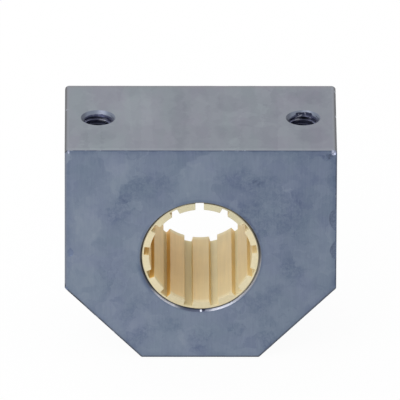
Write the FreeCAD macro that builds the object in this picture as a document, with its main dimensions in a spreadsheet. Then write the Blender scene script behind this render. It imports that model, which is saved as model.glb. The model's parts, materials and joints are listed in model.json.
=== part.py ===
import FreeCAD, Part
import math
import os
import Sketcher
from FreeCAD import Placement, Rotation, Vector

# Compact linear pillow block bearing for a 20 mm shaft: a one-piece aluminium housing and the
# slit polymer liner that the shaft slides in. Millimetres. X runs across the block, Y along the
# shaft, and Z from the bore's axis towards the base face, which looks up, so that the block lies
# on its crown. The origin is on the bore's axis, midway between the two end faces.

# Driving dimensions. What is not listed here follows from these.
SIZES = {
    # Shaft and sleeve, counted outwards from the shaft. Clearances and walls are radial.
    "shaft_diameter": 20.0,
    "shaft_clearance": 0.02,
    "liner_wall": 1.45,
    "seat_clearance": 0.03,
    # Block.
    "housing_width": 53.0,
    "housing_length": 29.0,
    "base_to_bore": 23.0,
    "bore_to_crown": 22.0,
    "crown_chamfer": 15.0,
    "base_edge_radius": 0.8,
    "edge_break": 0.2,
    "bore_mouth_chamfer": 0.6,
    # Tapped holes in the base face, M6. The wall here stands at the thread's core.
    "hole_edge_distance": 6.5,
    "hole_core_diameter": 5.0,
    "hole_mouth_diameter": 6.75,
    "hole_mouth_angle": 90.0,
    "hole_depth": 16.0,
    "drill_point_angle": 118.0,
    # Sleeve.
    "liner_recess": 0.1,
    "liner_outer_chamfer": 0.08,
    "liner_lead_in": 0.15,
    "land_count": 13,
    "slot_width": 1.65,
    "groove_web": 0.4,
    # Locating nub, opposite the slit, and its hole in the block.
    "nub_diameter": 2.8,
    "nub_height": 2.0,
    "nub_clearance": 0.1,
}

# Formulas used more than once.
LAND_RADIUS = "(sizes.shaft_diameter / 2 + sizes.shaft_clearance)"
LINER_RADIUS = "(" + LAND_RADIUS + " + sizes.liner_wall)"
BORE_RADIUS = "(" + LINER_RADIUS + " + sizes.seat_clearance)"
HALF_WIDTH = "(sizes.housing_width / 2)"
CROWN_HALF_FLAT = "(" + HALF_WIDTH + " - sizes.crown_chamfer)"
CHAMFER_TOP = "(sizes.bore_to_crown - sizes.crown_chamfer)"
HALF_LINER = "(sizes.housing_length / 2 - sizes.liner_recess)"
SLOT_PITCH = "(360 / sizes.land_count)"

NEAR = 1e-4


def make_sheet(doc):
    sheet = doc.addObject("Spreadsheet::Sheet", "sizes")
    for row, (name, size) in enumerate(SIZES.items(), start=1):
        sheet.set("A%d" % row, name)
        sheet.set("B%d" % row, str(size))
        sheet.setAlias("B%d" % row, name)
    doc.recompute()
    return sheet


def make_body(doc, name):
    body = doc.addObject("PartDesign::Body", name)
    body.Label = name
    body.Placement = Placement(Vector(0, 0, 0), Rotation())
    return body


# Sketches

def make_sketch(body, name, plane_role, lift=None):
    sketch = body.newObject("Sketcher::SketchObject", name)
    plane = [item for item in body.Origin.OriginFeatures if item.Role == plane_role][0]
    sketch.AttachmentSupport = [(plane, "")]
    sketch.MapMode = "FlatFace"
    if lift:
        sketch.setExpression("AttachmentOffset.Base.z", lift)
    return sketch


def constrain(sketch, kind, *arguments):
    return sketch.addConstraint(Sketcher.Constraint(kind, *arguments))


def hold_point(sketch, curve, end, across, up):
    """Hold one point of a curve at (across, up), two formulas that may start with a minus.

    The first number of a dimension, here 1.0, only lasts until its formula is set.
    """
    for kind, axis, formula in (("DistanceX", -2, across), ("DistanceY", -1, up)):
        if formula == "0":
            constrain(sketch, "PointOnObject", curve, end, axis)
        elif formula.startswith("-"):
            index = constrain(sketch, kind, curve, end, -1, 1, 1.0)
            sketch.setExpression("Constraints[%d]" % index, formula[1:])
        else:
            index = constrain(sketch, kind, -1, 1, curve, end, 1.0)
            sketch.setExpression("Constraints[%d]" % index, formula)


def draw_outline(sketch, corners):
    """Draw a closed outline of straight lines through corners given as pairs of formulas.

    It starts as a regular outline, which the corners' dimensions then pull into shape.
    """
    count = len(corners)
    turn = 2 * math.pi / count
    start = [Vector(math.cos(i * turn), math.sin(i * turn), 0) for i in range(count)]
    for i in range(count):
        sketch.addGeometry(Part.LineSegment(start[i], start[(i + 1) % count]))
    for i in range(count):
        constrain(sketch, "Coincident", i, 2, (i + 1) % count, 1)
    for i, (across, up) in enumerate(corners):
        hold_point(sketch, i, 1, across, up)


def draw_circle(sketch, across, up, radius):
    curve = sketch.addGeometry(Part.Circle(Vector(1, 1, 0), Vector(0, 0, 1), 1))
    hold_point(sketch, curve, 3, across, up)
    index = constrain(sketch, "Radius", curve, 1.0)
    sketch.setExpression("Constraints[%d]" % index, radius)


# Features

def add_feature(body, kind, name, **settings):
    """Add a feature; settings that are text starting with = are formulas."""
    feature = body.newObject("PartDesign::" + kind, name)
    for key, setting in settings.items():
        if isinstance(setting, str) and setting.startswith("="):
            feature.setExpression(key, setting[1:])
        else:
            setattr(feature, key, setting)
    body.Tip = feature
    body.Document.recompute()
    return feature


def edges_where(feature, wanted):
    edges = enumerate(feature.Shape.Edges, start=1)
    return (feature, ["Edge%d" % number for number, edge in edges if wanted(edge)])


def at_height(edge, level, axis):
    """True where the whole edge lies in the plane axis = level."""
    box = edge.BoundBox
    low = getattr(box, axis + "Min")
    high = getattr(box, axis + "Max")
    return abs(low - level) < NEAR and abs(high - level) < NEAR


def must_shrink(before, feature):
    if feature.Shape.Volume >= before.Shape.Volume:
        raise RuntimeError(feature.Name + " cut nothing")


# Housing: a sawn and milled block with two crown chamfers

def make_housing(doc, sheet):
    body = make_body(doc, "housing")
    half_length = sheet.housing_length / 2
    half_width = sheet.housing_width / 2

    outline = make_sketch(body, "block_outline", "XZ_Plane")
    draw_outline(outline, [
        (HALF_WIDTH, "sizes.base_to_bore"),
        ("-" + HALF_WIDTH, "sizes.base_to_bore"),
        ("-" + HALF_WIDTH, "-" + CHAMFER_TOP),
        ("-" + CROWN_HALF_FLAT, "-sizes.bore_to_crown"),
        (CROWN_HALF_FLAT, "-sizes.bore_to_crown"),
        (HALF_WIDTH, "-" + CHAMFER_TOP),
    ])
    block = add_feature(body, "Pad", "block", Profile=outline, SideType="Symmetric",
                        Length="=sizes.housing_length")

    def is_long_base_edge(edge):
        at_side = at_height(edge, half_width, "X") or at_height(edge, -half_width, "X")
        return at_side and at_height(edge, sheet.base_to_bore, "Z")

    rounded = add_feature(body, "Fillet", "base_edges", Base=edges_where(block, is_long_base_edge),
                          Radius="=sizes.base_edge_radius")
    must_shrink(block, rounded)

    def is_end_face_edge(edge):
        return at_height(edge, half_length, "Y") or at_height(edge, -half_length, "Y")

    eased = add_feature(body, "Chamfer", "end_face_edges",
                        Base=edges_where(rounded, is_end_face_edge), Size="=sizes.edge_break")
    must_shrink(rounded, eased)

    bored = cut_bore(body, eased, is_end_face_edge, half_length)
    drilled = cut_tapped_holes(body, bored)
    cut_nub_hole(body, drilled, sheet)
    return body


def cut_bore(body, before, is_end_face_edge, half_length):
    circle = make_sketch(body, "bore_circle", "XZ_Plane")
    draw_circle(circle, "0", "0", BORE_RADIUS)
    bore = add_feature(body, "Pocket", "bore", Profile=circle, SideType="Symmetric",
                       Type="ThroughAll")
    must_shrink(before, bore)

    def is_bore_mouth(edge):
        return is_end_face_edge(edge) and len(edge.Vertexes) == 1

    mouths = add_feature(body, "Chamfer", "bore_mouths", Base=edges_where(bore, is_bore_mouth),
                         Size="=sizes.bore_mouth_chamfer")
    must_shrink(bore, mouths)
    return mouths


def cut_tapped_holes(body, before):
    centres = make_sketch(body, "hole_centres", "XY_Plane", lift="sizes.base_to_bore")
    from_middle = "(" + HALF_WIDTH + " - sizes.hole_edge_distance)"
    for side in ("", "-"):
        draw_circle(centres, side + from_middle, "0", "sizes.hole_core_diameter / 2")
    body.Document.recompute()
    holes = add_feature(body, "Hole", "tapped_holes", Profile=centres)
    holes.Threaded = False
    holes.DepthType = "Dimension"
    holes.DrillPoint = "Angled"
    holes.HoleCutType = "Countersink"
    holes.HoleCutCustomValues = True
    holes.setExpression("Diameter", "sizes.hole_core_diameter")
    holes.setExpression("Depth", "sizes.hole_depth")
    holes.setExpression("DrillPointAngle", "sizes.drill_point_angle")
    holes.setExpression("HoleCutDiameter", "sizes.hole_mouth_diameter")
    holes.setExpression("HoleCutCountersinkAngle", "sizes.hole_mouth_angle")
    body.Document.recompute()
    must_shrink(before, holes)
    return holes


def cut_nub_hole(body, before, sheet):
    circle = make_sketch(body, "nub_hole_circle", "XY_Plane")
    draw_circle(circle, "0", "0", "(sizes.nub_diameter / 2 + sizes.nub_clearance)")
    hole = add_feature(body, "Pocket", "nub_hole", Profile=circle, Type="ThroughAll")
    must_shrink(before, hole)

    def is_outer_mouth(edge):
        return at_height(edge, -sheet.bore_to_crown, "Z") and len(edge.Vertexes) == 1

    mouth = add_feature(body, "Chamfer", "nub_hole_mouth", Base=edges_where(hole, is_outer_mouth),
                        Size="=sizes.edge_break")
    must_shrink(hole, mouth)


# Liner: a moulded sleeve, slit at 12 o'clock, with a groove between every two lands

def make_liner(doc):
    body = make_body(doc, "liner")
    sleeve = add_sleeve(body)
    slit = cut_slit(body, sleeve)
    cut_grooves(body, slit)
    add_nub(body)
    return body


def add_sleeve(body):
    section = make_sketch(body, "sleeve_section", "YZ_Plane")
    outer_end = "(" + HALF_LINER + " - sizes.liner_outer_chamfer)"
    inner_end = "(" + HALF_LINER + " - sizes.liner_lead_in)"
    outer_face = "(" + LINER_RADIUS + " - sizes.liner_outer_chamfer)"
    inner_face = "(" + LAND_RADIUS + " + sizes.liner_lead_in)"
    draw_outline(section, [
        ("-" + inner_end, LAND_RADIUS),
        (inner_end, LAND_RADIUS),
        (HALF_LINER, inner_face),
        (HALF_LINER, outer_face),
        (outer_end, LINER_RADIUS),
        ("-" + outer_end, LINER_RADIUS),
        ("-" + HALF_LINER, outer_face),
        ("-" + HALF_LINER, inner_face),
    ])
    return add_feature(body, "Revolution", "sleeve", Profile=section,
                       ReferenceAxis=(section, ["H_Axis"]), Angle=360.0)


def cut_slit(body, before):
    outline = make_sketch(body, "slit_outline", "XZ_Plane")
    half = "(sizes.slot_width / 2)"
    draw_outline(outline, [
        (half, "(sizes.shaft_diameter / 4)"),
        (half, "(" + LINER_RADIUS + " + sizes.liner_wall)"),
        ("-" + half, "(" + LINER_RADIUS + " + sizes.liner_wall)"),
        ("-" + half, "(sizes.shaft_diameter / 4)"),
    ])
    slit = add_feature(body, "Pocket", "slit", Profile=outline, SideType="Symmetric",
                       Type="ThroughAll")
    must_shrink(before, slit)
    return slit


def cut_grooves(body, before):
    outline = make_sketch(body, "groove_outline", "XZ_Plane")
    outline.setExpression("AttachmentOffset.Rotation.Angle", "-" + SLOT_PITCH)
    half = "(sizes.slot_width / 2)"
    floor = "(" + LINER_RADIUS + " - sizes.groove_web)"
    draw_outline(outline, [
        (half, "(sizes.shaft_diameter / 4)"),
        (half, floor),
        ("-" + half, floor),
        ("-" + half, "(sizes.shaft_diameter / 4)"),
    ])
    groove = add_feature(body, "Pocket", "groove", Profile=outline, SideType="Symmetric",
                         Type="ThroughAll")
    must_shrink(before, groove)
    grooves = add_feature(body, "PolarPattern", "grooves", Originals=[groove],
                          Axis=(outline, ["N_Axis"]), Reversed=True,
                          Angle="=360 - 2 * " + SLOT_PITCH, Occurrences="=sizes.land_count - 1")
    must_shrink(groove, grooves)
    return grooves


def add_nub(body):
    root = "(" + LINER_RADIUS + " - sizes.groove_web)"
    circle = make_sketch(body, "nub_circle", "XY_Plane", lift="-" + root)
    draw_circle(circle, "0", "0", "(sizes.nub_diameter / 2)")
    add_feature(body, "Pad", "nub", Profile=circle, Reversed=True,
                Length="=sizes.groove_web + sizes.nub_height")


# Checks and export

def check(doc, bodies):
    for item in doc.Objects:
        if "Invalid" in item.State or "Error" in item.State:
            raise RuntimeError("%s failed: %s" % (item.Name, item.State))
    for body in bodies:
        if body.Shape.isNull() or not body.Shape.isValid() or len(body.Shape.Solids) != 1:
            raise RuntimeError(body.Label + " is not one valid solid")


def main():
    doc = FreeCAD.newDocument("pillow_block")
    sheet = make_sheet(doc)
    bodies = [make_housing(doc, sheet), make_liner(doc)]
    doc.recompute()
    check(doc, bodies)
    os.makedirs("parts", exist_ok=True)
    for body in bodies:
        body.Shape.exportStep("parts/" + body.Label + ".step")
        print(body.Label, "volume %.1f mm3" % body.Shape.Volume)


main()
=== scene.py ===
import json
import math

import bmesh
import bpy
from mathutils import Matrix, Vector, noise


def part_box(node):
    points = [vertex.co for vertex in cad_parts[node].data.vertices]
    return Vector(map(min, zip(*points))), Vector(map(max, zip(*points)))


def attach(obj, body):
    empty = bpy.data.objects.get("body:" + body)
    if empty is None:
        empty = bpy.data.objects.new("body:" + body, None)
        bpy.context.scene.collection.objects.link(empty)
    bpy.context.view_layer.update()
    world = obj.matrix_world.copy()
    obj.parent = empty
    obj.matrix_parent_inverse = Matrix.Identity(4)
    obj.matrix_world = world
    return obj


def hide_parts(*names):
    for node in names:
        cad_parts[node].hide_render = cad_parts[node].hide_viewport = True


# Linear pillow block bearing: a mottled blue-grey aluminium block with two M6 holes in its base
# face and a cream polymer liner in its bore. X runs across the block, Y along the shaft and Z out
# of the base face, which looks up. Meshes are drawn in millimetres and then scaled to metres.
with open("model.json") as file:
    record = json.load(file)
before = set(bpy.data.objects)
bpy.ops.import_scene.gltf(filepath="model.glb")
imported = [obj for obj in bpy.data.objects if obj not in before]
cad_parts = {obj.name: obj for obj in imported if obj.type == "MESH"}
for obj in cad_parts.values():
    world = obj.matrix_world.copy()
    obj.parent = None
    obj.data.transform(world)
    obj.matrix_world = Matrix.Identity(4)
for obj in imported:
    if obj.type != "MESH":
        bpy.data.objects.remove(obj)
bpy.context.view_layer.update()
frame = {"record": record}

MM = 0.001
mounts = {mount["name"]: mount for mount in frame["record"]["mounts"]}

# Block, from the frame where the frame has it
housing_low, housing_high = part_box("housing")
HALF_WIDTH = housing_high.x / MM
HALF_LENGTH = housing_high.y / MM
BASE_Z = housing_high.z / MM
CROWN_Z = housing_low.z / MM
CROWN_CHAMFER = 15.0
CHAMFER_TOP = CROWN_Z + CROWN_CHAMFER
BASE_EDGE_RADIUS = 0.8
EDGE_BREAK = 0.2
CORNER_BREAK = 0.45
BORE_RADIUS = 11.5
BORE_MOUTH_CHAMFER = 0.6
FRONT_MOUTH_DROP = 0.2
NUB_HOLE_RADIUS = 1.5
NUB_HOLE_CHAMFER = 0.2

# Dents and chips that the photograph shows, as centre and half sizes
BARE_DENTS = [
    ((25.86, -14.68, 22.75), (0.6, 0.44, 1.0)),
    ((-25.75, -14.76, 22.9), (0.36, 0.4, 0.85)),
]
OLD_CHIPS = [
    ((26.6, -14.6, 8.0), (1.65, 0.3, 2.4)),
    ((26.6, -14.6, 1.4), (1.5, 0.3, 2.2)),
    ((-25.35, -14.58, 0.85), (0.7, 0.18, 1.05)),
    ((-26.4, -14.6, -7.2), (0.6, 0.36, 0.7)),
]

# Tapped holes, M6
HOLE_X = mounts["tapped_hole_right"]["pos_m"][0] / MM
CORE_RADIUS = mounts["tapped_hole_right"]["dims"]["r_mm"]
HOLE_MOUTH_RADIUS = 3.375
HOLE_DEPTH = 16.0
DRILL_POINT_ANGLE = 118.0
THREAD_PITCH = 1.0
THREAD_RADIUS = 3.0
THREAD_LENGTH = 13.0

# Liner
LAND_RADIUS = mounts["shaft_bore"]["dims"]["r_mm"]
LINER_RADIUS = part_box("liner")[1].x / MM
HALF_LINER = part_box("liner")[1].y / MM
LINER_END_RADIUS = 0.1
LINER_TURN = 1.1
LAND_COUNT = 13
SLOT_WIDTH = 1.65
GROOVE_FLOOR = LINER_RADIUS - 0.4
LAND_CORNER_RADIUS = 0.13
NUB_RADIUS = 1.4
NUB_HEIGHT = 2.0
NUB_EDGE = 0.15

# How finely round forms are drawn, in steps
BORE_STEPS = 192
THREAD_STEPS = 72
NUB_STEPS = 48
LINER_STEPS = 180
LAND_STEPS = 12
BASE_EDGE_STEPS = 6
ROUNDING_STEPS = 3

# Turns in degrees from which a corner is rounded off and an edge is shaded sharp, and how much of
# a flat face's normal lies in the face's own direction
ROUNDED_TURN = 35.0
SHARP_TURN = 40.0
FLATNESS = 0.9995


# Outlines, lists of 2-D points that run anticlockwise

def corners(outline):
    """Each point of the outline with the one before it and the one after it."""
    return zip(outline[-1:] + outline[:-1], outline, outline[1:] + outline[:1])


def arc(centre, radius, start, end, steps):
    """Points on an arc, with angles in degrees from the first axis towards the second."""
    angles = [math.radians(start + (end - start) * i / steps) for i in range(steps + 1)]
    return [centre + radius * Vector((math.cos(a), math.sin(a))) for a in angles]


def softened(outline, radius):
    """The outline with its corners rounded off, apart from those that hardly turn."""
    points = []
    for before, here, after in corners(outline):
        into = (here - before).normalized()
        out = (after - here).normalized()
        turn = math.atan2(into.cross(out), into.dot(out))
        if abs(turn) < math.radians(ROUNDED_TURN):
            points.append(here)
            continue
        start = here - into * radius * math.tan(abs(turn) / 2)
        to_centre = Vector((-into.y, into.x)) * math.copysign(radius, turn)
        for i in range(ROUNDING_STEPS + 1):
            spoke = Matrix.Rotation(turn * i / ROUNDING_STEPS, 2) @ -to_centre
            points.append(start + to_centre + spoke)
    return points


def divided(outline, longest):
    """The outline with its long sides divided into steps of at most this length."""
    points = []
    for _, here, after in corners(outline):
        steps = math.ceil((after - here).length / longest)
        points += [here.lerp(after, i / steps) for i in range(steps)]
    return points


def drawn_in(outline, insets):
    """The outline with each point moved inwards, square to the sides beside it, by its inset."""
    moved = []
    for (before, here, after), inset in zip(corners(outline), insets):
        first = Vector((-(here - before).y, (here - before).x)).normalized()
        second = Vector((-(after - here).y, (after - here).x)).normalized()
        moved.append(here + (first + second) * inset / (1 + first.dot(second)))
    return moved


# Solids

def new_object(name, bm, material):
    """The finished mesh as an object in metres."""
    bm.transform(Matrix.Scale(MM, 4))
    mesh = bpy.data.meshes.new(name)
    bm.to_mesh(mesh)
    bm.free()
    mesh.materials.append(material)
    made = bpy.data.objects.new(name, mesh)
    bpy.context.scene.collection.objects.link(made)
    return made


def new_solid(name, bm, material):
    """The closed mesh as an object, with every face looking outwards and no warped quads."""
    bmesh.ops.triangulate(bm, faces=[face for face in bm.faces if len(face.verts) == 4])
    bmesh.ops.recalc_face_normals(bm, faces=bm.faces)
    return new_object(name, bm, material)


def skin(bm, rings, closed=True):
    """Faces between each ring of vertices and the next."""
    count = len(rings[0])
    for ring, following in zip(rings, rings[1:]):
        for i in range(count if closed else count - 1):
            j = (i + 1) % count
            bm.faces.new((ring[i], ring[j], following[j], following[i]))


def bar(name, outline, half_length, edge_radius, material, wear=lambda point: 1.0):
    """A bar of this outline in X and Z along Y. The edges of its two ends are rounded."""
    turns = [math.pi / 2 * i / ROUNDING_STEPS for i in range(ROUNDING_STEPS + 1)]
    stations = [
        (half_length - edge_radius * (1 - math.sin(a)), edge_radius * (1 - math.cos(a)))
        for a in turns
    ]
    stations = [(-y, inset) for y, inset in reversed(stations)] + stations
    bm = bmesh.new()
    rings = []
    for y, inset in stations:
        end = math.copysign(half_length, y)
        insets = [inset * wear(Vector((point.x, end, point.y))) for point in outline]
        points = drawn_in(outline, insets)
        rings.append([bm.verts.new((point.x, y, point.y)) for point in points])
    skin(bm, rings)
    bm.faces.new(rings[0])
    bm.faces.new(rings[-1])
    return new_solid(name, bm, material)


def turned(name, profile, place, steps, material):
    """A solid turned about its own Z axis. The profile of (radius, height) ends on the axis."""
    bm = bmesh.new()
    first = bm.verts.new((0, 0, profile[0][1]))
    last = bm.verts.new((0, 0, profile[-1][1]))
    rings = []
    for radius, height in profile[1:-1]:
        points = arc(Vector((0, 0)), radius, 0, 360 - 360 / steps, steps - 1)
        rings.append([bm.verts.new((point.x, point.y, height)) for point in points])
    skin(bm, rings)
    for i in range(steps):
        bm.faces.new((first, rings[0][i - 1], rings[0][i]))
        bm.faces.new((last, rings[-1][i - 1], rings[-1][i]))
    bm.transform(place)
    return new_solid(name, bm, material)


def combine(piece, others, operation):
    """Join the other solids to the piece, or cut them out of it, for good."""
    for other in others:
        modifier = piece.modifiers.new(other.name, "BOOLEAN")
        modifier.operation = operation
        modifier.solver = "EXACT"
        modifier.material_mode = "TRANSFER"
        modifier.object = other
    shown = piece.evaluated_get(bpy.context.evaluated_depsgraph_get())
    piece.data = bpy.data.meshes.new_from_object(shown)
    piece.modifiers.clear()
    for other in others:
        bpy.data.objects.remove(other)


def smooth(piece):
    """Smooth shading, apart from the sharp edges."""
    piece.data.shade_smooth()
    piece.data.set_sharp_from_angle(angle=math.radians(SHARP_TURN))
    weighted = piece.modifiers.new("flat faces stay flat", "WEIGHTED_NORMAL")
    weighted.keep_sharp = True


# Block

def block_outline():
    """The block's section, with round base edges, in sides of at most 1 mm."""
    crown_half = HALF_WIDTH - CROWN_CHAMFER
    right = Vector((HALF_WIDTH - BASE_EDGE_RADIUS, BASE_Z - BASE_EDGE_RADIUS))
    left = Vector((-right.x, right.y))
    lower_right = [Vector((crown_half, CROWN_Z)), Vector((HALF_WIDTH, CHAMFER_TOP))]
    lower_left = [Vector((-HALF_WIDTH, CHAMFER_TOP)), Vector((-crown_half, CROWN_Z))]
    round_right = arc(right, BASE_EDGE_RADIUS, 0, 90, BASE_EDGE_STEPS)
    round_left = arc(left, BASE_EDGE_RADIUS, 90, 180, BASE_EDGE_STEPS)
    sharp = lower_right + round_right + round_left + lower_left
    return divided(softened(sharp, CORNER_BREAK), 1.0)


def edge_wear(point):
    """How much more than usual, or less, an end face's edge is worn at this point."""
    return 1.0 + 0.7 * noise.noise(point * 0.35) + 0.3 * noise.noise(point * 1.3)


def bore_cutters(material):
    """The bore with its rear mouth, and the front mouth, whose chamfer was cut a little low."""
    past = 1.0
    bore = [
        (0, HALF_LENGTH + past),
        (BORE_RADIUS, HALF_LENGTH + past),
        (BORE_RADIUS, BORE_MOUTH_CHAMFER - HALF_LENGTH),
        (BORE_RADIUS + BORE_MOUTH_CHAMFER + past, -HALF_LENGTH - past),
        (0, -HALF_LENGTH - past),
    ]
    mouth_radius = BORE_RADIUS + BORE_MOUTH_CHAMFER - FRONT_MOUTH_DROP
    mouth = [
        (0, HALF_LENGTH + past),
        (mouth_radius + past, HALF_LENGTH + past),
        (mouth_radius - past, HALF_LENGTH - past),
        (0, HALF_LENGTH - past),
    ]
    lying = Matrix.Rotation(math.pi / 2, 4, "X")
    lowered = Matrix.Translation((0, 0, -FRONT_MOUTH_DROP)) @ lying
    return [
        turned("bore_cutter", bore, lying, BORE_STEPS, material),
        turned("mouth_cutter", mouth, lowered, BORE_STEPS, material),
    ]


def thread_rows(turns):
    """The thread's section down one line of the wall, as (depth, radius). Seven rows a pitch."""
    root = 1 / 16
    flank = (THREAD_RADIUS - CORE_RADIUS) * math.tan(math.radians(30)) / THREAD_PITCH
    middle = (THREAD_RADIUS + CORE_RADIUS) / 2
    down = [(root, THREAD_RADIUS), (root + flank / 2, middle), (root + flank, CORE_RADIUS)]
    up = [(1 - share, radius) for share, radius in reversed(down)]
    pitch = down + [(0.5, CORE_RADIUS)] + up
    return [
        ((turn + share) * THREAD_PITCH, radius)
        for turn in range(turns)
        for share, radius in pitch
    ]


def thread_columns(bm, rows, above):
    """Columns of vertices down the wall of a tapped hole, all the way round it.

    Each column starts a little lower than the one before it, so that the rows follow the thread.
    """
    columns = []
    for column in range(THREAD_STEPS):
        angle = -2 * math.pi * column / THREAD_STEPS
        across, along = math.cos(angle), math.sin(angle)
        line = []
        for depth, radius in rows:
            height = above - depth - THREAD_PITCH * column / THREAD_STEPS
            cut = min(1.0, max(0.0, (THREAD_LENGTH + height) / THREAD_PITCH))
            reach = max(HOLE_MOUTH_RADIUS + height, CORE_RADIUS + (radius - CORE_RADIUS) * cut)
            line.append(bm.verts.new((reach * across, reach * along, height)))
        columns.append(line)
    return columns


def close_wall(bm, columns, shift, above):
    """The seam of a tapped hole's wall, and a lid over its top.

    The last column meets the first one a whole pitch further down, which is shift rows.
    """
    first, last = columns[0], columns[-1]
    skin(bm, [last[:-shift], first[shift:]], closed=False)
    for upper, lower in zip(last[-shift - 1:], last[-shift:]):
        bm.faces.new((upper, lower, first[-1]))
    lid = bm.verts.new((0, 0, above))
    bm.faces.new((lid, last[0], first[shift]))
    bm.faces.new([lid] + first[shift::-1])
    for here, after in zip(columns, columns[1:]):
        bm.faces.new((lid, here[0], after[0]))


def drill_below(bm, columns):
    """The plain core below a tapped hole's thread, and the drill point."""
    feet = [line[-1] for line in columns]
    floor = [bm.verts.new((foot.co.x, foot.co.y, -HOLE_DEPTH)) for foot in feet]
    point_depth = CORE_RADIUS / math.tan(math.radians(DRILL_POINT_ANGLE / 2))
    tip = bm.verts.new((0, 0, -HOLE_DEPTH - point_depth))
    for i in range(THREAD_STEPS):
        bm.faces.new((feet[i - 1], feet[i], floor[i], floor[i - 1]))
        bm.faces.new((floor[i - 1], floor[i], tip))


def tapped_hole_cutter(x, material):
    """A tapped hole as one solid: countersink, thread, core and drill point."""
    above = 1.5 * THREAD_PITCH
    turns = math.ceil((THREAD_LENGTH + above) / THREAD_PITCH) + 1
    rows = thread_rows(turns)
    bm = bmesh.new()
    columns = thread_columns(bm, rows, above)
    skin(bm, columns, closed=False)
    close_wall(bm, columns, len(rows) // turns, above)
    drill_below(bm, columns)
    bm.transform(Matrix.Translation((x, 0, BASE_Z)))
    return new_solid("tapped_hole_cutter", bm, material)


def nub_hole_cutter(material):
    past = 0.5
    mouth = CROWN_Z + NUB_HOLE_CHAMFER
    profile = [
        (0, 0),
        (NUB_HOLE_RADIUS, 0),
        (NUB_HOLE_RADIUS, mouth),
        (NUB_HOLE_RADIUS + NUB_HOLE_CHAMFER + past, CROWN_Z - past),
        (0, CROWN_Z - past),
    ]
    return turned("nub_hole_cutter", profile, Matrix.Identity(4), NUB_STEPS, material)


def dent_cutter(centre, radii, material):
    """An uneven lump that leaves a dent or a chip where it meets the block."""
    bm = bmesh.new()
    bmesh.ops.create_icosphere(bm, subdivisions=3, radius=1.0)
    for vert in bm.verts:
        swell = 1.0 + 0.22 * noise.noise(vert.co * 1.6 + Vector(centre))
        swell += 0.06 * noise.noise(vert.co * 5.0)
        vert.co = Vector([part * radius * swell for part, radius in zip(vert.co, radii)])
    bm.transform(Matrix.Translation(centre))
    return new_solid("dent_cutter", bm, material)


def flat_normals():
    """The directions, in X and Z, that the block's long flat faces look in."""
    diagonal = math.sqrt(0.5)
    square = [Vector(pair) for pair in ((1, 0), (-1, 0), (0, 1), (0, -1))]
    return square + [Vector((diagonal, -diagonal)), Vector((-diagonal, -diagonal))]


def dress_block(block, end, base, edges):
    """Give each face that no cutter made its finish, by the way that it looks.

    Such a face still has the finish of the sides, which is the first one.
    """
    mesh = block.data
    first = len(mesh.materials)
    for finish in (end, base, edges):
        mesh.materials.append(finish)
    flats = flat_normals()
    for face in mesh.polygons:
        if face.material_index:
            continue
        section = Vector((face.normal.x, face.normal.z))
        if abs(face.normal.y) > FLATNESS:
            face.material_index = first
        elif section.y > FLATNESS:
            face.material_index = first + 1
        elif max(section.dot(flat) for flat in flats) < FLATNESS:
            face.material_index = first + 2


def make_block():
    block = bar("block", block_outline(), HALF_LENGTH, EDGE_BREAK, side_finish(), edge_wear)
    bored = bore_finish()
    tapped = tapped_hole_finish()
    cutters = bore_cutters(bored) + [nub_hole_cutter(bored)]
    cutters += [tapped_hole_cutter(x, tapped) for x in (-HOLE_X, HOLE_X)]
    bare, old = bare_finish(), chip_finish()
    cutters += [dent_cutter(centre, radii, bare) for centre, radii in BARE_DENTS]
    cutters += [dent_cutter(centre, radii, old) for centre, radii in OLD_CHIPS]
    combine(block, cutters, "DIFFERENCE")
    dress_block(block, end_finish(), base_finish(), edge_finish())
    smooth(block)
    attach(block, "root")
    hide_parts("housing")


# Liner

def clock(radius, degrees):
    """A point at this many degrees clockwise from 12 o'clock, as seen from the front."""
    angle = math.radians(degrees)
    return Vector((radius * math.sin(angle), radius * math.cos(angle)))


def liner_outline():
    """The sleeve's section, slit at 12 o'clock, with a flat-bottomed groove between the lands."""
    pitch = 360 / LAND_COUNT
    half = SLOT_WIDTH / 2
    outer_gap = math.degrees(math.asin(half / LINER_RADIUS))
    inner_gap = math.degrees(math.asin(half / LAND_RADIUS))
    points = arc(Vector((0, 0)), LINER_RADIUS, 90 + outer_gap, 450 - outer_gap, LINER_STEPS)
    for land in range(LAND_COUNT):
        start, end = land * pitch + inner_gap, (land + 1) * pitch - inner_gap
        for i in range(LAND_STEPS + 1):
            points.append(clock(LAND_RADIUS, start + (end - start) * i / LAND_STEPS))
        if land < LAND_COUNT - 1:
            middle = (land + 1) * pitch
            across = clock(half, middle + 90)
            floor = clock(GROOVE_FLOOR, middle)
            points += [floor - across, floor + across]
    turn = Matrix.Rotation(math.radians(LINER_TURN), 2)
    return [turn @ point for point in softened(points, LAND_CORNER_RADIUS)]


def nub_solid(material):
    """The locating nub below the sleeve. Its foot starts inside the sleeve's wall."""
    tip = -LINER_RADIUS - NUB_HEIGHT
    profile = [
        (0, -GROOVE_FLOOR),
        (NUB_RADIUS, -GROOVE_FLOOR),
        (NUB_RADIUS, tip + NUB_EDGE),
        (NUB_RADIUS - NUB_EDGE, tip),
        (0, tip),
    ]
    return turned("nub", profile, Matrix.Identity(4), NUB_STEPS, material)


def make_sleeve():
    polymer = liner_finish()
    sleeve = bar("sleeve", liner_outline(), HALF_LINER, LINER_END_RADIUS, polymer)
    combine(sleeve, [nub_solid(polymer)], "UNION")
    smooth(sleeve)
    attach(sleeve, "root")
    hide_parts("liner")


# Materials

# A mix node has sockets for each kind of data. These are the ones for colours.
MIX_FIRST_COLOUR = 6
MIX_SECOND_COLOUR = 7
MIX_COLOUR_OUT = 2


def rgb(red, green, blue):
    """A colour in steps of 0 to 255 as a screen shows it, turned into linear shares."""
    shares = [step / 255 for step in (red, green, blue)]
    linear = [s / 12.92 if s <= 0.04045 else ((s + 0.055) / 1.055) ** 2.4 for s in shares]
    return (*linear, 1.0)


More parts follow.
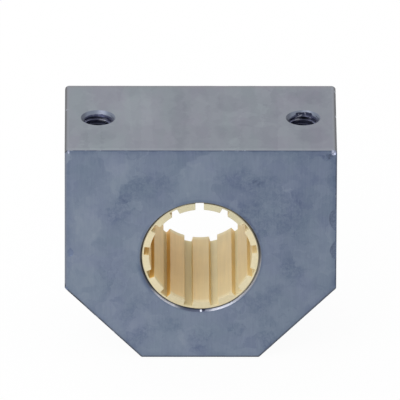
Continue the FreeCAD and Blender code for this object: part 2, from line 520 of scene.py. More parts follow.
class Graph:
    """A material, with a short way to add each kind of node that returns the node's output.

    place is the spot on the part in millimetres, x, y and z are its parts, and normal is the way
    that the surface looks. A share is a number from 0 to 1. A tone is a number around 0, above it
    where the surface is lighter than usual and below it where it is darker.
    """

    def __init__(self, name, metallic):
        self.material = bpy.data.materials.new(name)
        self.material.use_nodes = True
        self.nodes = self.material.node_tree.nodes
        self.shader = self.nodes["Principled BSDF"]
        self.shader.inputs["Metallic"].default_value = metallic
        spot = self.nodes.new("ShaderNodeTexCoord")
        self.normal = spot.outputs["Normal"]
        self.place = self.stretched(spot.outputs["Object"], (1 / MM, 1 / MM, 1 / MM))
        self.x, self.y, self.z = self.split(self.place)

    def feed(self, socket, value):
        """Link the socket to an output, or give it a plain value."""
        if isinstance(value, bpy.types.NodeSocket):
            self.material.node_tree.links.new(value, socket)
        else:
            socket.default_value = value

    def split(self, vector):
        node = self.nodes.new("ShaderNodeSeparateXYZ")
        self.feed(node.inputs[0], vector)
        return node.outputs

    def maths(self, operation, *values):
        node = self.nodes.new("ShaderNodeMath")
        node.operation = operation
        for socket, value in zip(node.inputs, values):
            self.feed(socket, value)
        return node.outputs[0]

    def weighed(self, *pairs):
        """The sum of value times weight over the pairs."""
        total = 0.0
        for value, weight in pairs:
            total = self.maths("MULTIPLY_ADD", value, weight, total)
        return total

    def both(self, *shares):
        """The product of the shares, which is one where all of them are one."""
        product = shares[0]
        for share in shares[1:]:
            product = self.maths("MULTIPLY", product, share)
        return product

    def added(self, number, share, amount):
        """The number, changed by the amount where the share is one."""
        return self.maths("MULTIPLY_ADD", share, amount, number)

    def stretched(self, vector, factors):
        node = self.nodes.new("ShaderNodeVectorMath")
        node.operation = "MULTIPLY"
        self.feed(node.inputs[0], vector)
        self.feed(node.inputs[1], factors)
        return node.outputs[0]

    def step(self, value, start, end, low=0.0, high=1.0):
        """A soft step from low to high as the value goes from start to end."""
        node = self.nodes.new("ShaderNodeMapRange")
        node.interpolation_type = "SMOOTHSTEP"
        for socket, item in zip(node.inputs, (value, start, end, low, high)):
            self.feed(socket, item)
        return node.outputs[0]

    def band(self, value, start, full, fading, end):
        """A share that rises as the value goes from start to full and falls from fading to end."""
        return self.both(self.step(value, start, full), self.step(value, end, fading))

    def noise(self, vector, scale, detail=2.0, roughness=0.5):
        """Noise around 0.5, with scale in waves per millimetre."""
        node = self.nodes.new("ShaderNodeTexNoise")
        self.feed(node.inputs["Vector"], vector)
        node.inputs["Scale"].default_value = scale
        node.inputs["Detail"].default_value = detail
        node.inputs["Roughness"].default_value = roughness
        return node.outputs[0]

    def cells(self, vector, scale):
        """Patches that each have one even value from 0 to 1."""
        node = self.nodes.new("ShaderNodeTexVoronoi")
        self.feed(node.inputs["Vector"], vector)
        node.inputs["Scale"].default_value = scale
        return self.split(node.outputs["Color"])[0]

    def wandering(self, vector, scale, reach, detail=2.0):
        """The vector, moved about by up to half of reach."""
        node = self.nodes.new("ShaderNodeTexNoise")
        self.feed(node.inputs["Vector"], vector)
        node.inputs["Scale"].default_value = scale
        node.inputs["Detail"].default_value = detail
        shift = self.nodes.new("ShaderNodeVectorMath")
        shift.operation = "MULTIPLY_ADD"
        self.feed(shift.inputs[0], node.outputs["Color"])
        shift.inputs[1].default_value = (reach, reach, reach)
        shift.inputs[2].default_value = (-reach / 2, -reach / 2, -reach / 2)
        total = self.nodes.new("ShaderNodeVectorMath")
        self.feed(total.inputs[0], vector)
        self.feed(total.inputs[1], shift.outputs[0])
        return total.outputs[0]

    def mark(self, vector, centre, radii, turn=0.0):
        """One at the centre of an ellipsoid, falling to zero at its rim."""
        mapping = self.nodes.new("ShaderNodeMapping")
        mapping.vector_type = "TEXTURE"
        self.feed(mapping.inputs["Vector"], vector)
        mapping.inputs["Location"].default_value = centre
        mapping.inputs["Rotation"].default_value = (0.0, math.radians(turn), 0.0)
        mapping.inputs["Scale"].default_value = radii
        gradient = self.nodes.new("ShaderNodeTexGradient")
        gradient.gradient_type = "SPHERICAL"
        self.feed(gradient.inputs["Vector"], mapping.outputs[0])
        return gradient.outputs[1]

    def mixed(self, share, first, second):
        node = self.nodes.new("ShaderNodeMix")
        node.data_type = "RGBA"
        self.feed(node.inputs["Factor"], share)
        self.feed(node.inputs[MIX_FIRST_COLOUR], first)
        self.feed(node.inputs[MIX_SECOND_COLOUR], second)
        return node.outputs[MIX_COLOUR_OUT]

    def ramp(self, tone, stops):
        """The colour that a tone has. The stops run from 0, for a tone of -1, to 1, for one of 1."""
        node = self.nodes.new("ShaderNodeValToRGB")
        self.feed(node.inputs[0], self.maths("MULTIPLY_ADD", tone, 0.5, 0.5))
        elements = node.color_ramp.elements
        for element, (position, colour) in zip(elements, (stops[0], stops[-1])):
            element.position = position
            element.color = colour
        for position, colour in stops[1:-1]:
            elements.new(position).color = colour
        return node.outputs[0]

    def finish(self, colour, roughness, relief, height):
        """Wire up the shader. Height is how far in millimetres the relief rises from 0 to 1."""
        self.feed(self.shader.inputs["Base Color"], colour)
        self.feed(self.shader.inputs["Roughness"], roughness)
        bump = self.nodes.new("ShaderNodeBump")
        bump.inputs["Distance"].default_value = height * MM
        self.feed(bump.inputs["Height"], relief)
        self.feed(self.shader.inputs["Normal"], bump.outputs[0])
        return self.material


def from_axis(graph):
    """How far a spot is from the bore's axis, in millimetres."""
    return graph.maths("SQRT", graph.weighed((graph.x, graph.x), (graph.z, graph.z)))


# Stains as across, up (or back, on the base face), half width, half height, turn in degrees and
# strength, which is above zero for a lighter patch and below zero for a darker one.
FRONT_MARKS = [
    (-16.6, 17.4, 3.4, 4.6, 0, 0.26),
    (0.2, 19.0, 3.4, 3.6, 20, 0.2),
    (-2.6, 15.8, 2.8, 3.8, -20, 0.18),
    (-22.0, 7.4, 3.4, 7.0, 0, 0.34),
    (-21.0, -2.4, 5.0, 5.0, 0, 0.16),
    (22.8, 1.0, 3.6, 8.0, 0, 0.14),
    (-15.2, 9.6, 3.2, 4.4, 10, -0.36),
    (-13.4, 14.4, 2.2, 3.4, 10, -0.3),
    (-9.0, 15.8, 5.0, 3.4, 10, -0.22),
    (7.6, 16.6, 6.0, 3.0, 10, -0.3),
    (12.8, 14.6, 5.0, 4.0, -30, -0.26),
    (17.4, 9.4, 4.6, 6.2, -20, -0.3),
    (10.8, 7.8, 3.6, 6.0, -25, -0.32),
    (17.4, 15.2, 2.0, 1.4, 0, 0.24),
    (-16.9, -4.1, 4.2, 4.4, 0, -0.2),
    (-11.6, 2.0, 2.0, 4.6, -20, 0.16),
    (17.8, -3.4, 3.0, 4.2, 0, -0.3),
    (13.4, -9.0, 2.2, 4.0, 40, -0.24),
    (-12.3, -10.6, 6.2, 2.2, -45, -0.2),
    (-15.6, -11.6, 2.0, 2.2, 0, 0.24),
    (-6.6, -14.8, 5.0, 2.2, -20, -0.18),
    (11.2, -12.0, 6.2, 2.2, 45, -0.22),
    (6.8, -15.7, 2.4, 1.7, 0, -0.34),
    (-0.1, -18.2, 2.6, 3.6, 0, -0.26),
    (-4.6, -18.6, 2.6, 2.4, 0, 0.2),
    (-13.6, -18.4, 6.0, 2.2, -45, -0.34),
    (0.0, -18.6, 9.0, 3.4, 0, -0.08),
    (14.0, -18.8, 4.6, 2.2, 45, -0.34),
    (20.5, 21.6, 3.6, 0.6, 0, -0.16),
    (24.5, 21.3, 2.1, 1.1, 0, -0.6),
    (-26.0, 21.5, 1.2, 2.4, 0, 1.0),
    (25.9, 16.0, 1.4, 7.4, 0, -0.16),
]
BASE_MARKS = [
    (-4.2, 0.0, 2.0, 19.0, 0, -0.5),
    (5.4, 6.4, 2.8, 4.8, 0, -0.5),
    (5.6, -6.4, 3.4, 4.6, 0, -0.44),
    (-12.6, 3.0, 6.0, 8.6, 0, 0.44),
    (-0.2, 3.0, 1.7, 8.6, 0, 0.44),
    (-20.3, -8.2, 4.0, 4.4, 0, -0.44),
    (21.6, -8.0, 3.6, 4.6, 0, -0.5),
    (21.4, 9.6, 4.6, 4.2, 0, -0.44),
    (9.4, 1.2, 2.4, 1.3, 0, 0.4),
    (12.6, -3.2, 2.8, 1.1, 0, 0.4),
    (9.0, -3.4, 2.0, 1.0, 0, -0.4),
    (15.0, 1.6, 1.4, 2.0, 0, -0.3),
]
MARK_DEPTH = 6.0

# Single spots as centre and half sizes
LIGHTER_MOUTH_SPOT = ((-8.0, -HALF_LENGTH, 9.4), (4.0, 3.0, 4.0))
BURNT_CORNER = ((-25.0, -HALF_LENGTH, -8.6), (3.4, 2.0, 3.4))
# A small notch low in the front mouth, as a spot of painted shade and a painted glint
MOUTH_NOTCH_SHADE = ((0.6, -14.2, -11.75), (0.45, 0.8, 0.4))
MOUTH_NOTCH_GLINT = ((0.1, -14.3, -11.9), (0.3, 0.8, 0.36))
HOLE_BURR = ((HOLE_X + 0.2, 2.9, BASE_Z - 0.4), (1.9, 1.6, 1.4))
# Painted glints on the threads of the two holes, as centre and half sizes
HOLE_GLINTS = [
    ((-HOLE_X + 0.9, 2.4, BASE_Z - 1.85), (1.0, 1.2, 0.6)),
    ((-HOLE_X + 1.5, 2.2, BASE_Z - 1.3), (0.5, 0.8, 0.3)),
    ((HOLE_X - 1.1, 2.3, BASE_Z - 1.35), (0.7, 1.0, 0.6)),
    ((HOLE_X + 1.4, 2.2, BASE_Z - 1.2), (0.6, 0.8, 0.35)),
]


def edge_distance(graph):
    """How far a spot on an end face is from the face's outline, in millimetres."""
    aside = graph.maths("ABSOLUTE", graph.x)
    to_side = graph.maths("SUBTRACT", HALF_WIDTH, aside)
    to_base = graph.maths("SUBTRACT", BASE_Z, graph.z)
    to_crown = graph.maths("SUBTRACT", graph.z, CROWN_Z)
    past_chamfer = graph.maths("ADD", to_side, graph.maths("SUBTRACT", to_crown, CROWN_CHAMFER))
    to_chamfer = graph.maths("MULTIPLY", past_chamfer, math.sqrt(0.5))
    nearest = graph.maths("MINIMUM", to_side, to_base)
    nearest = graph.maths("MINIMUM", nearest, to_crown)
    return graph.maths("MINIMUM", nearest, to_chamfer)


def mottling(graph):
    """Blotchy tone: clouds, patches with sharp uneven borders and small ones."""
    loose = graph.wandering(graph.place, 0.3, 5.0, 3.0)
    ragged = graph.wandering(loose, 1.2, 1.2, 2.0)
    clouds = graph.noise(graph.place, 0.11, 2.0)
    patches = graph.cells(ragged, 0.2)
    flakes = graph.cells(ragged, 0.62)
    return graph.weighed((clouds, 0.38), (patches, 0.34), (flakes, 0.24), (1.0, -0.48))


def stained(graph, tone, marks, upright):
    """The tone with the marks laid over it. Dark marks on an end face are speckled, as oil is."""
    ragged = graph.wandering(graph.wandering(graph.place, 0.3, 4.0), 1.1, 1.5, 4.0)
    flecks = graph.noise(graph.wandering(graph.place, 0.7, 1.6), 1.3, 4.0, 0.7)
    speckle = graph.step(flecks, 0.4, 0.6, 0.5, 1.5)
    for across, up, half_width, half_height, turn, strength in marks:
        if upright:
            centre, radii = (across, -HALF_LENGTH, up), (half_width, MARK_DEPTH, half_height)
        else:
            centre, radii = (across, up, BASE_Z), (half_width, half_height, MARK_DEPTH)
        mark = graph.step(graph.mark(ragged, centre, radii, turn), 0.0, 0.45)
        if upright and strength < 0:
            mark = graph.both(mark, speckle)
        tone = graph.added(tone, mark, strength)
    return tone


def tinted(graph, colour, share, first, second, place):
    """The colour with faint clouds of two tints in it."""
    clouds = graph.noise(graph.wandering(place, 0.4, 3.0), 0.16, 2.0)
    colour = graph.mixed(graph.step(clouds, 0.5, 0.64, 0.0, share), colour, first)
    return graph.mixed(graph.step(clouds, 0.5, 0.36, 0.0, share), colour, second)


def dark_round_mouth(graph, tone):
    """The tone, darker in a narrow ring round the bore, less so at 11 o'clock and more so low at the
    left.
    """
    radius = from_axis(graph)
    ring = graph.step(radius, 12.5, 12.0)
    tone = graph.added(tone, ring, -0.45)
    lighter_spot = graph.step(graph.mark(graph.place, *LIGHTER_MOUTH_SPOT), 0.0, 0.5)
    tone = graph.added(tone, graph.both(lighter_spot, ring), 0.55)
    low_left = graph.both(graph.step(graph.x, -8.6, -10.6), graph.step(graph.z, -0.6, -3.0))
    low_left_dark = graph.both(low_left, graph.step(radius, 12.9, 12.3))
    return graph.added(tone, low_left_dark, -0.6)


def dark_along_outline(graph, tone):
    """The tone, darker in an uneven strip along the face's outline, and darkest at its rim."""
    strip = graph.maths("ADD", edge_distance(graph), graph.noise(graph.place, 0.5, 3.0))
    tone = graph.added(tone, graph.step(strip, 1.9, 0.9), -0.26)
    return graph.added(tone, graph.step(strip, 0.92, 0.6), -0.5)


def low_rims_and_left_light(graph, colour):
    """The colour, greyer at the rim of the chamfers and the crown, and lighter at the left rim, which
    is painted light.
    """
    low = graph.step(graph.z, CHAMFER_TOP + 0.4, CHAMFER_TOP - 0.2)
    low_rim = graph.both(graph.step(edge_distance(graph), 0.55, 0.25), low)
    colour = graph.mixed(graph.both(low_rim, 0.6), colour, rgb(86, 91, 100))
    # Painted light along the left rim, on the side that faces the lamps
    high = graph.step(graph.z, CHAMFER_TOP + 0.1, CHAMFER_TOP + 0.6)
    left_rim_light = graph.both(graph.step(graph.x, 0.55 - HALF_WIDTH, 0.3 - HALF_WIDTH), high)
    return graph.mixed(graph.both(left_rim_light, 0.85), colour, rgb(125, 132, 147))


def end_finish():
    """The two end faces: blue-grey, brushed, blotchy, darker along the edges."""
    graph = Graph("block_end_face", 0.9)
    strokes = graph.noise(graph.stretched(graph.place, (3.2, 1.0, 0.35)), 1.0, 3.0, 0.6)
    # Painted light: lighter towards the left, where the lamps are, and a little lighter lower down
    painted_falloff = graph.weighed((graph.x, -0.005), (graph.z, -0.004), (1.0, 0.32))
    tone = stained(graph, mottling(graph), FRONT_MARKS, upright=True)
    tone = graph.weighed((tone, 1.0), (painted_falloff, 1.0), (strokes, 0.52), (1.0, -0.26))
    tone = dark_along_outline(graph, dark_round_mouth(graph, tone))
    colour = graph.ramp(tone, [
        (0.0, rgb(80, 89, 108)),
        (0.25, rgb(99, 111, 135)),
        (0.5, rgb(112, 124, 144)),
        (0.75, rgb(124, 135, 153)),
        (1.0, rgb(136, 146, 161)),
    ])
    violet, green = rgb(117, 116, 160), rgb(106, 132, 137)
    colour = tinted(graph, colour, 0.07, violet, green, graph.place)
    colour = low_rims_and_left_light(graph, colour)
    grain = graph.noise(graph.place, 6.0, 2.0)
    relief = graph.weighed((strokes, 0.6), (grain, 0.3), (tone, 0.1))
    roughness = graph.added(0.52, tone, -0.06)
    return graph.finish(colour, roughness, relief, 0.012)


def base_finish():
    """The base face: neutral grey, finely milled, in faint bands along its short side."""
    graph = Graph("block_base_face", 0.9)
    loose = graph.wandering(graph.place, 0.8, 0.8, 3.0)
    bands = graph.cells(graph.stretched(loose, (0.3, 0.02, 1.0)), 1.0)
    flecks = graph.cells(graph.stretched(loose, (0.62, 0.34, 1.0)), 1.0)
    lines = graph.noise(graph.stretched(graph.place, (5.0, 0.25, 1.0)), 1.0, 2.0, 0.6)
    tone = graph.weighed((bands, 0.58), (flecks, 0.36), (lines, 0.34), (1.0, -0.64))
    tone = stained(graph, tone, BASE_MARKS, upright=False)
    front_rim = graph.step(graph.y, -HALF_LENGTH + 1.3, -HALF_LENGTH + 0.4, 0.0, 0.6)
    back_rim = graph.step(graph.y, HALF_LENGTH - 1.8, HALF_LENGTH - 0.3, 0.0, 0.6)
    tone = graph.weighed((tone, 1.0), (front_rim, 1.0), (graph.x, -0.006))
    colour = graph.ramp(tone, [
        (0.0, rgb(122, 126, 137)),
        (0.5, rgb(134, 139, 148)),
        (1.0, rgb(146, 153, 160)),
    ])
    colour = graph.mixed(back_rim, colour, rgb(137, 136, 139))
    violet, green = rgb(150, 130, 158), rgb(122, 150, 144)
    drawn_out = graph.stretched(graph.place, (1.0, 0.3, 1.0))
    colour = tinted(graph, colour, 0.09, violet, green, drawn_out)
    grain = graph.noise(graph.place, 6.0, 2.0)
    relief = graph.weighed((lines, 0.7), (grain, 0.3))
    roughness = graph.added(0.4, lines, 0.12)
    return graph.finish(colour, roughness, relief, 0.008)


def side_finish():
    """The sides, the crown and the crown's chamfers: blue-grey, brushed along the bar."""
    graph = Graph("block_sides", 0.9)
    strokes = graph.noise(graph.stretched(graph.place, (2.6, 0.3, 2.6)), 1.0, 3.0, 0.6)
    long_spots = graph.noise(graph.stretched(graph.place, (0.9, 0.2, 0.9)), 1.0, 4.0, 0.7)
    scuffs = graph.step(long_spots, 0.62, 0.72)
    tone = graph.weighed((mottling(graph), 1.0), (strokes, 0.6), (scuffs, 0.3), (1.0, -0.3))
    colour = graph.ramp(tone, [
        (0.0, rgb(92, 102, 122)),
        (0.5, rgb(113, 123, 142)),
        (1.0, rgb(134, 143, 158)),
    ])
    grain = graph.noise(graph.place, 6.0, 2.0)
    relief = graph.weighed((strokes, 0.7), (grain, 0.3))
    roughness = graph.added(0.42, strokes, 0.15)
    return graph.finish(colour, roughness, relief, 0.012)


def edge_finish():
    """The rounded edges: dark, with painted light and shade by the way each faces, and the metal worn
    bright here and there.
    """
    graph = Graph("block_edges", 0.9)
    aside, _, up = graph.split(graph.normal)
    high = graph.step(graph.z, CHAMFER_TOP + 0.1, CHAMFER_TOP + 0.6)
    # Painted light: edges that face left, towards the lamps, are lighter
    left_facing_light = graph.both(graph.step(aside, -0.2, -0.5), high)
    colour = graph.mixed(left_facing_light, rgb(84, 92, 110), rgb(162, 168, 177))
    # Painted shade: edges that face down are near black
    colour = graph.mixed(graph.step(up, -0.12, -0.35), colour, rgb(44, 48, 56))
    along_base = graph.mixed(graph.step(up, 0.62, 0.85), colour, rgb(142, 146, 154))
    # Painted shade on the long base edges: darker as they turn from facing up to facing sideways
    base_edge_shade = graph.mixed(graph.step(up, 0.45, 0.7), rgb(76, 77, 81), rgb(100, 101, 105))
    base_edge_shade = graph.mixed(graph.step(up, 0.78, 0.93), base_edge_shade, rgb(138, 141, 149))
    base_edge_shade = graph.mixed(graph.step(up, 0.1, 0.3), colour, base_edge_shade)
    sideways = graph.step(graph.maths("ABSOLUTE", aside), 0.1, 0.25)
    colour = graph.mixed(sideways, along_base, base_edge_shade)
    spots = graph.noise(graph.wandering(graph.place, 1.5, 1.0), 0.5, 3.0, 0.65)
    worn = graph.step(spots, 0.6, 0.72)
    colour = graph.mixed(worn, colour, rgb(146, 152, 163))
    burnt = graph.step(graph.mark(graph.place, *BURNT_CORNER), 0.0, 0.3)
    colour = graph.mixed(burnt, colour, rgb(44, 46, 54))
    grain = graph.noise(graph.place, 3.0, 3.0, 0.6)
    return graph.finish(colour, graph.added(0.5, worn, -0.15), grain, 0.02)


def around(graph):
    """The clock angle in degrees of a spot round the bore, seen from the front, 0 at 12."""
    angle = graph.maths("ARCTAN2", graph.x, graph.z)
    degrees = graph.maths("MULTIPLY", angle, 180 / math.pi)
    return graph.maths("FLOORED_MODULO", degrees, 360.0)


def mouth_colour_with_painted_light(graph, angle, radius):
    """The bore and its mouths: dark at 6 and 8 o'clock, painted light on top, and a painted sheen at
    4 o'clock.
    """
    low = graph.band(angle, 168, 178, 192, 202)
    low = graph.added(low, graph.band(angle, 228, 238, 250, 264), 0.6)
    colour = graph.mixed(low, rgb(118, 124, 137), rgb(86, 92, 112))
    # Painted light on the upper half, where the chamfer faces down into shade
    colour = graph.mixed(graph.step(graph.z, -4.0, 10.0), colour, rgb(158, 162, 171))
    # Painted sheen from about 3 to 5 o'clock
    inner = graph.step(radius, BORE_RADIUS + 0.5, BORE_RADIUS + 0.15, 0.0, 0.8)
    sheen = graph.both(graph.band(angle, 80, 98, 134, 152), inner)
    return graph.mixed(sheen, colour, rgb(226, 226, 236))


def mouth_highlight(graph, angle, radius):
    """The painted highlight on the mouths, in broken streaks at 5 and at 7 o'clock."""
    right = graph.band(angle, 136, 154, 166, 178)
    left = graph.band(angle, 198, 208, 222, 236)
    streaks = graph.noise(graph.stretched(graph.place, (1.0, 6.0, 1.0)), 1.6, 3.0, 0.65)
    broken = graph.step(streaks, 0.36, 0.6, 0.5, 1.0)
    outside = graph.step(radius, BORE_RADIUS + 0.08, BORE_RADIUS + 0.3)
    return graph.both(graph.weighed((right, 0.42), (left, 0.64)), broken, outside)


def bore_finish():
    """The bore and its mouths: turned, with a painted highlight low down and painted shade in the gap
    along the liner.
    """
    graph = Graph("block_bore", 1.0)
    radius = from_axis(graph)
    smears = graph.noise(graph.place, 0.9, 3.0, 0.6)
    ragged = graph.weighed((smears, 12.0), (around(graph), 1.0), (1.0, -6.0))
    # Painted highlight: the lower chamfer catching the lamps, painted as bright metal
    highlight_share = mouth_highlight(graph, ragged, radius)
    colour = graph.mixed(highlight_share, mouth_colour_with_painted_light(graph, ragged, radius), rgb(226, 226, 236))
    # Painted shade in the narrow gap between the mouth and the liner, on the lower half
    depth = graph.weighed((radius, 1.0), (smears, -0.14), (1.0, -BORE_RADIUS))
    gap_shade = graph.both(graph.step(depth, 0.06, -0.08), graph.step(graph.z, -0.5, -6.5))
    colour = graph.mixed(gap_shade, colour, rgb(108, 105, 102))
    # The notch at 6 o'clock: painted shade on its right and a painted glint on its left
    notch_shade = graph.step(graph.mark(graph.place, *MOUTH_NOTCH_SHADE), 0.1, 0.5)
    colour = graph.mixed(notch_shade, colour, rgb(52, 54, 72))
    notch_glint = graph.step(graph.mark(graph.place, *MOUTH_NOTCH_GLINT), 0.15, 0.6)
    colour = graph.mixed(notch_glint, colour, rgb(222, 225, 238))
    turned_lines = graph.noise(graph.stretched(graph.place, (0.6, 9.0, 0.6)), 1.0, 2.0)
    return graph.finish(colour, graph.added(0.42, highlight_share, -0.12), turned_lines, 0.01)


def countersink_colour(graph, smears):
    """The tapped holes' mouths: a painted highlight just right of the middle, and painted shade at
    the left.
    """
    from_middle = graph.maths("SUBTRACT", graph.maths("ABSOLUTE", graph.x), HOLE_X)
    rightward = graph.maths("MULTIPLY", from_middle, graph.maths("SIGN", graph.x))
    smeared = graph.step(smears, 0.3, 0.55, 0.6, 1.0)
    # Painted highlight just right of the middle of each countersink
    lit = graph.both(graph.band(rightward, -0.4, 0.5, 0.9, 2.0), smeared)
    colour = graph.mixed(lit, rgb(118, 125, 140), rgb(127, 132, 147))
    # Painted shade at the left of each countersink
    return graph.mixed(graph.step(rightward, -1.9, -2.9), colour, rgb(94, 99, 112))


def thread_colour(graph, depth, torn, burr):
    """Dark on the upper threads, painted lighter one turn down, black in the burr, with painted
    glints.
    """
    # Painted light: the threads lighter a turn down, against the shade inside the hole
    colour = graph.mixed(graph.step(depth, 0.8, 1.5), rgb(60, 63, 84), rgb(134, 138, 166))
    colour = graph.mixed(graph.step(depth, 2.0, 2.7), colour, rgb(92, 96, 120))
    colour = graph.mixed(graph.both(burr, 0.75), colour, rgb(24, 27, 40))
    # Painted glints: small specks and the listed glints on the threads
    glint_specks = graph.step(graph.noise(torn, 1.4, 2.0), 0.58, 0.7, 0.0, 0.35)
    colour = graph.mixed(glint_specks, colour, rgb(190, 194, 210))
    for centre, radii in HOLE_GLINTS:
        glint = graph.step(graph.mark(torn, centre, radii), 0.0, 0.5, 0.0, 0.8)
        colour = graph.mixed(glint, colour, rgb(208, 210, 222))
    return colour


def tapped_hole_finish():
    """The tapped holes: countersinks with a painted highlight, one with a torn burr, and dark upper
    threads with painted glints.
    """
    graph = Graph("block_tapped_holes", 1.0)
    smears = graph.noise(graph.wandering(graph.place, 0.8, 1.5), 0.9, 3.0, 0.6)
    torn = graph.wandering(graph.place, 1.6, 0.7, 3.0)
    burr = graph.step(graph.mark(torn, *HOLE_BURR), 0.0, 0.3)
    depth = graph.weighed((graph.z, -1.0), (smears, 0.3), (1.0, BASE_Z - 0.15))
    depth = graph.added(depth, burr, 0.3)
    thread = thread_colour(graph, depth, torn, burr)
    colour = graph.mixed(graph.step(depth, 0.5, 0.64), countersink_colour(graph, smears), thread)
    rings = graph.noise(graph.stretched(graph.place, (0.8, 0.8, 8.0)), 1.0, 2.0)
    return graph.finish(colour, graph.added(0.3, smears, 0.2), rings, 0.012)


def torn_metal(graph):
    """Fine uneven noise, for metal that was torn away."""
    return graph.noise(graph.wandering(graph.place, 1.0, 1.0), 2.4, 3.0, 0.65)


def bare_finish():
    """Bare metal in the nicks."""
    graph = Graph("block_nicks", 1.0)
    torn = torn_metal(graph)
    colour = graph.mixed(graph.step(torn, 0.35, 0.65), rgb(142, 149, 170), rgb(188, 193, 212))
    return graph.finish(colour, graph.added(0.3, torn, 0.2), torn, 0.05)


def chip_finish():
    """Old dark chips in the edges, lighter on the left."""
    graph = Graph("block_chips", 0.9)
    torn = torn_metal(graph)
    colour = graph.mixed(graph.step(torn, 0.35, 0.65), rgb(94, 105, 126), rgb(110, 121, 142))
    colour = graph.mixed(graph.step(graph.x, -10.0, -20.0), colour, rgb(113, 125, 150))
    return graph.finish(colour, graph.added(0.45, torn, 0.2), torn, 0.05)


def liner_inside(graph, radius, outward):
    """Tan lands, with painted light near the ends, and olive groove floors with walls browned by
    painted shade.

    The walls just left of 6 o'clock are hardly browner than the rest.
    """
    # Painted shade: warmer, darker tints on the left side of the bore
    left = graph.step(graph.x, 3.0, -6.0)
    land = graph.mixed(left, rgb(222, 204, 159), rgb(226, 199, 146))
    land = graph.mixed(graph.step(graph.x, -6.0, -8.6), land, rgb(237, 214, 160))
    # Painted light on the lands near the ends
    lit_ends = graph.step(graph.maths("ABSOLUTE", graph.y), HALF_LINER - 1.6, HALF_LINER - 0.6)
    land = graph.mixed(lit_ends, land, rgb(228, 216, 180))
    floor = graph.mixed(left, rgb(223, 215, 178), rgb(212, 197, 147))
    wall = graph.mixed(left, rgb(239, 213, 155), rgb(229, 186, 104))
    colour = graph.mixed(graph.step(radius, 10.6, 10.95), land, floor)
    # Painted shade on the groove walls of the lower half, found by how steeply they face
    wall_shade = graph.step(graph.maths("ABSOLUTE", outward), 0.85, 0.4)
    wall_shade = graph.both(wall_shade, graph.step(graph.z, 5.0, -3.0))
    plain = graph.band(graph.x, -4.2, -3.4, -1.0, -0.4)
    wall_shade = graph.added(wall_shade, graph.both(wall_shade, plain), -0.8)
    return graph.mixed(wall_shade, colour, wall)


def liner_end(graph):
    """The liner's two ends: cream, paler at the sides and greener towards 12 o'clock."""
    side = graph.step(graph.maths("ABSOLUTE", graph.x), 5.0, 9.5)
    cream = graph.mixed(side, rgb(204, 191, 155), rgb(215, 203, 167))
    return graph.mixed(graph.step(graph.z, 4.0, 10.0), cream, rgb(198, 190, 158))


def shaded_rim(graph, colour, radius, outward):
    """The colour, with uneven painted shade on the outer rim near the ends, in the gap against the
    block, darkest at the right.
    """
    gap_shade = graph.noise(graph.place, 0.35, 3.0, 0.6)
    right = graph.step(graph.x, 3.0, 11.5)
    rim = graph.weighed((radius, 1.0), (gap_shade, 0.16), (right, 0.1), (1.0, -LINER_RADIUS))
    near_end = graph.step(graph.maths("ABSOLUTE", graph.y), HALF_LINER - 1.4, HALF_LINER - 1.0)
    rim = graph.both(graph.step(rim, -0.1, 0.04), near_end)
    # Patchy painted shade where the rim sits in the gap against the block
    rim_shade_patches = graph.step(graph.noise(graph.place, 0.12, 2.0), 0.4, 0.6)
    rim_shade = graph.mixed(rim_shade_patches, rgb(180, 170, 140), rgb(128, 119, 98))
    right = graph.both(right, graph.step(outward, 0.9, 0.5))
    rim_shade = graph.mixed(right, rim_shade, rgb(104, 98, 84))
    return graph.mixed(rim, colour, rim_shade)


def liner_finish():
    """The liner: cream ends, tan lands, olive grooves with browner walls of painted shade, and
    painted shade on the rim.
    """
    graph = Graph("liner_polymer_moulded", 0.0)
    radius = from_axis(graph)
    aside, along, up = graph.split(graph.normal)
    outward = graph.maths("DIVIDE", graph.weighed((aside, graph.x), (up, graph.z)), radius)
    end = graph.step(graph.maths("ABSOLUTE", along), 0.35, 0.8)
    colour = graph.mixed(end, liner_inside(graph, radius, outward), liner_end(graph))
    streaks = graph.noise(graph.stretched(graph.place, (2.2, 0.07, 2.2)), 1.0, 3.0, 0.6)
    clouds = graph.noise(graph.place, 0.16, 3.0, 0.55)
    shade = graph.weighed((streaks, 0.2), (clouds, 0.2), (1.0, 0.8))
    colour = shaded_rim(graph, graph.stretched(colour, shade), radius, outward)
    grain = graph.noise(graph.place, 5.0, 3.0, 0.6)
    relief = graph.weighed((streaks, 0.5), (grain, 0.5))
    roughness = graph.added(0.42, grain, 0.15)
    return graph.finish(colour, roughness, relief, 0.01)


# Surroundings

WHITE = (1.0, 1.0, 1.0, 1.0)
WORLD_LIGHT = 0.8
FLOOR_SIZE = 4.0
FLOOR_GAP = 0.02
FLOOR_GREY = (0.85, 0.85, 0.85, 1.0)
FLOOR_ROUGHNESS = 0.9
FLOOR_GLOW = 0.95

# Lamps as name, place and size in metres, power in watts, and whether metal shows their glare
LAMPS = [
    ("key", (-0.5, -0.7, 0.9), 0.9, 3.5, True),
    ("front", (-0.6, -0.85, 0.5), 0.7, 2.5, True),
    ("back", (-0.5, 0.9, 0.55), 0.9, 5.0, False),
]

# Camera, in degrees and metres, with its lens in millimetres
CAMERA_AZIMUTH = -0.308
CAMERA_ELEVATION = 26.111
CAMERA_ROLL = 0.187
CAMERA_DISTANCE = 3.4
CAMERA_LENS = 1563.5
CAMERA_SEES_TO = 10.0
AIM_ASIDE = -0.000049
AIM_ABOVE_CENTRE = 0.004165


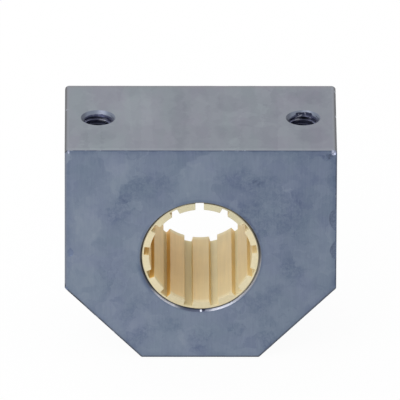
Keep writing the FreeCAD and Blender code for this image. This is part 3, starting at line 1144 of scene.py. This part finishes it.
def add_camera():
    """The photograph's camera, fitted to the edges of the block."""
    camera = bpy.data.objects.new("camera", bpy.data.cameras.new("camera"))
    bpy.context.scene.collection.objects.link(camera)
    camera.data.lens = CAMERA_LENS
    camera.data.clip_end = CAMERA_SEES_TO
    centre = (housing_low + housing_high) / 2
    azimuth = Matrix.Rotation(math.radians(CAMERA_AZIMUTH), 4, "Z")
    tilt = Matrix.Rotation(math.radians(90 - CAMERA_ELEVATION), 4, "X")
    roll = Matrix.Rotation(math.radians(CAMERA_ROLL), 4, "Z")
    back = Matrix.Translation((AIM_ASIDE, AIM_ABOVE_CENTRE, CAMERA_DISTANCE))
    camera.matrix_world = Matrix.Translation(centre) @ azimuth @ tilt @ roll @ back
    bpy.context.scene.camera = camera


def add_lamp(name, place, size, power, glare):
    """A square soft lamp that looks at the block, with or without its own glare on metal."""
    data = bpy.data.lights.new(name, "AREA")
    data.size = size
    data.energy = power
    lamp = bpy.data.objects.new(name, data)
    bpy.context.scene.collection.objects.link(lamp)
    lamp.visible_glossy = glare
    lamp.location = place
    lamp.rotation_euler = Vector(place).to_track_quat("Z", "Y").to_euler()


def backdrop_rays(nodes, links):
    """One for rays that should see the plain backdrop: from the camera, mirrored or through glass."""
    rays = nodes.new("ShaderNodeLightPath")
    seen = rays.outputs["Is Camera Ray"]
    for kind in ("Is Glossy Ray", "Is Transmission Ray"):
        either = nodes.new("ShaderNodeMath")
        either.operation = "MAXIMUM"
        links.new(seen, either.inputs[0])
        links.new(rays.outputs[kind], either.inputs[1])
        seen = either.outputs[0]
    return seen


def add_world():
    """White to the camera, in reflections and through glass; softer as a light."""
    world = bpy.data.worlds.new("studio")
    bpy.context.scene.world = world
    world.use_nodes = True
    nodes, links = world.node_tree.nodes, world.node_tree.links
    background = nodes["Background"]
    background.inputs["Color"].default_value = WHITE
    level = nodes.new("ShaderNodeMapRange")
    level.inputs["To Min"].default_value = WORLD_LIGHT
    level.inputs["To Max"].default_value = 1.0
    links.new(backdrop_rays(nodes, links), level.inputs["Value"])
    links.new(level.outputs["Result"], background.inputs["Strength"])


def mixed_shader(nodes, links, share, first, second):
    node = nodes.new("ShaderNodeMixShader")
    for socket, output in zip(node.inputs, (share, first, second)):
        links.new(output, socket)
    return node.outputs[0]


def floor_finish():
    """Pale, nearly white to the camera, with a faint shadow, and clear from below."""
    material = bpy.data.materials.new("pale_floor")
    material.use_nodes = True
    nodes, links = material.node_tree.nodes, material.node_tree.links
    shader = nodes["Principled BSDF"]
    shader.inputs["Base Color"].default_value = FLOOR_GREY
    shader.inputs["Roughness"].default_value = FLOOR_ROUGHNESS
    glow = nodes.new("ShaderNodeEmission")
    glow.inputs["Color"].default_value = WHITE
    share = nodes.new("ShaderNodeMath")
    share.operation = "MULTIPLY"
    share.inputs[1].default_value = FLOOR_GLOW
    links.new(backdrop_rays(nodes, links), share.inputs[0])
    top = mixed_shader(nodes, links, share.outputs[0], shader.outputs[0], glow.outputs[0])
    below = nodes.new("ShaderNodeNewGeometry").outputs["Backfacing"]
    clear = nodes.new("ShaderNodeBsdfTransparent")
    whole = mixed_shader(nodes, links, below, top, clear.outputs[0])
    links.new(whole, nodes["Material Output"].inputs["Surface"])
    return material


def add_floor():
    """A pale floor just below the crown. It looks up.

    It is split in two here because the way that it is split shows faintly in the metal.
    """
    bm = bmesh.new()
    bmesh.ops.create_grid(bm, x_segments=1, y_segments=1, size=FLOOR_SIZE / 2 / MM)
    bm.transform(Matrix.Translation((0, 0, CROWN_Z - FLOOR_GAP)))
    bmesh.ops.triangulate(bm, faces=bm.faces)
    new_object("floor", bm, floor_finish())


make_block()
make_sleeve()
add_floor()
add_world()
for lamp in LAMPS:
    add_lamp(*lamp)
add_camera()
bpy.context.scene.view_settings.view_transform = "Standard"
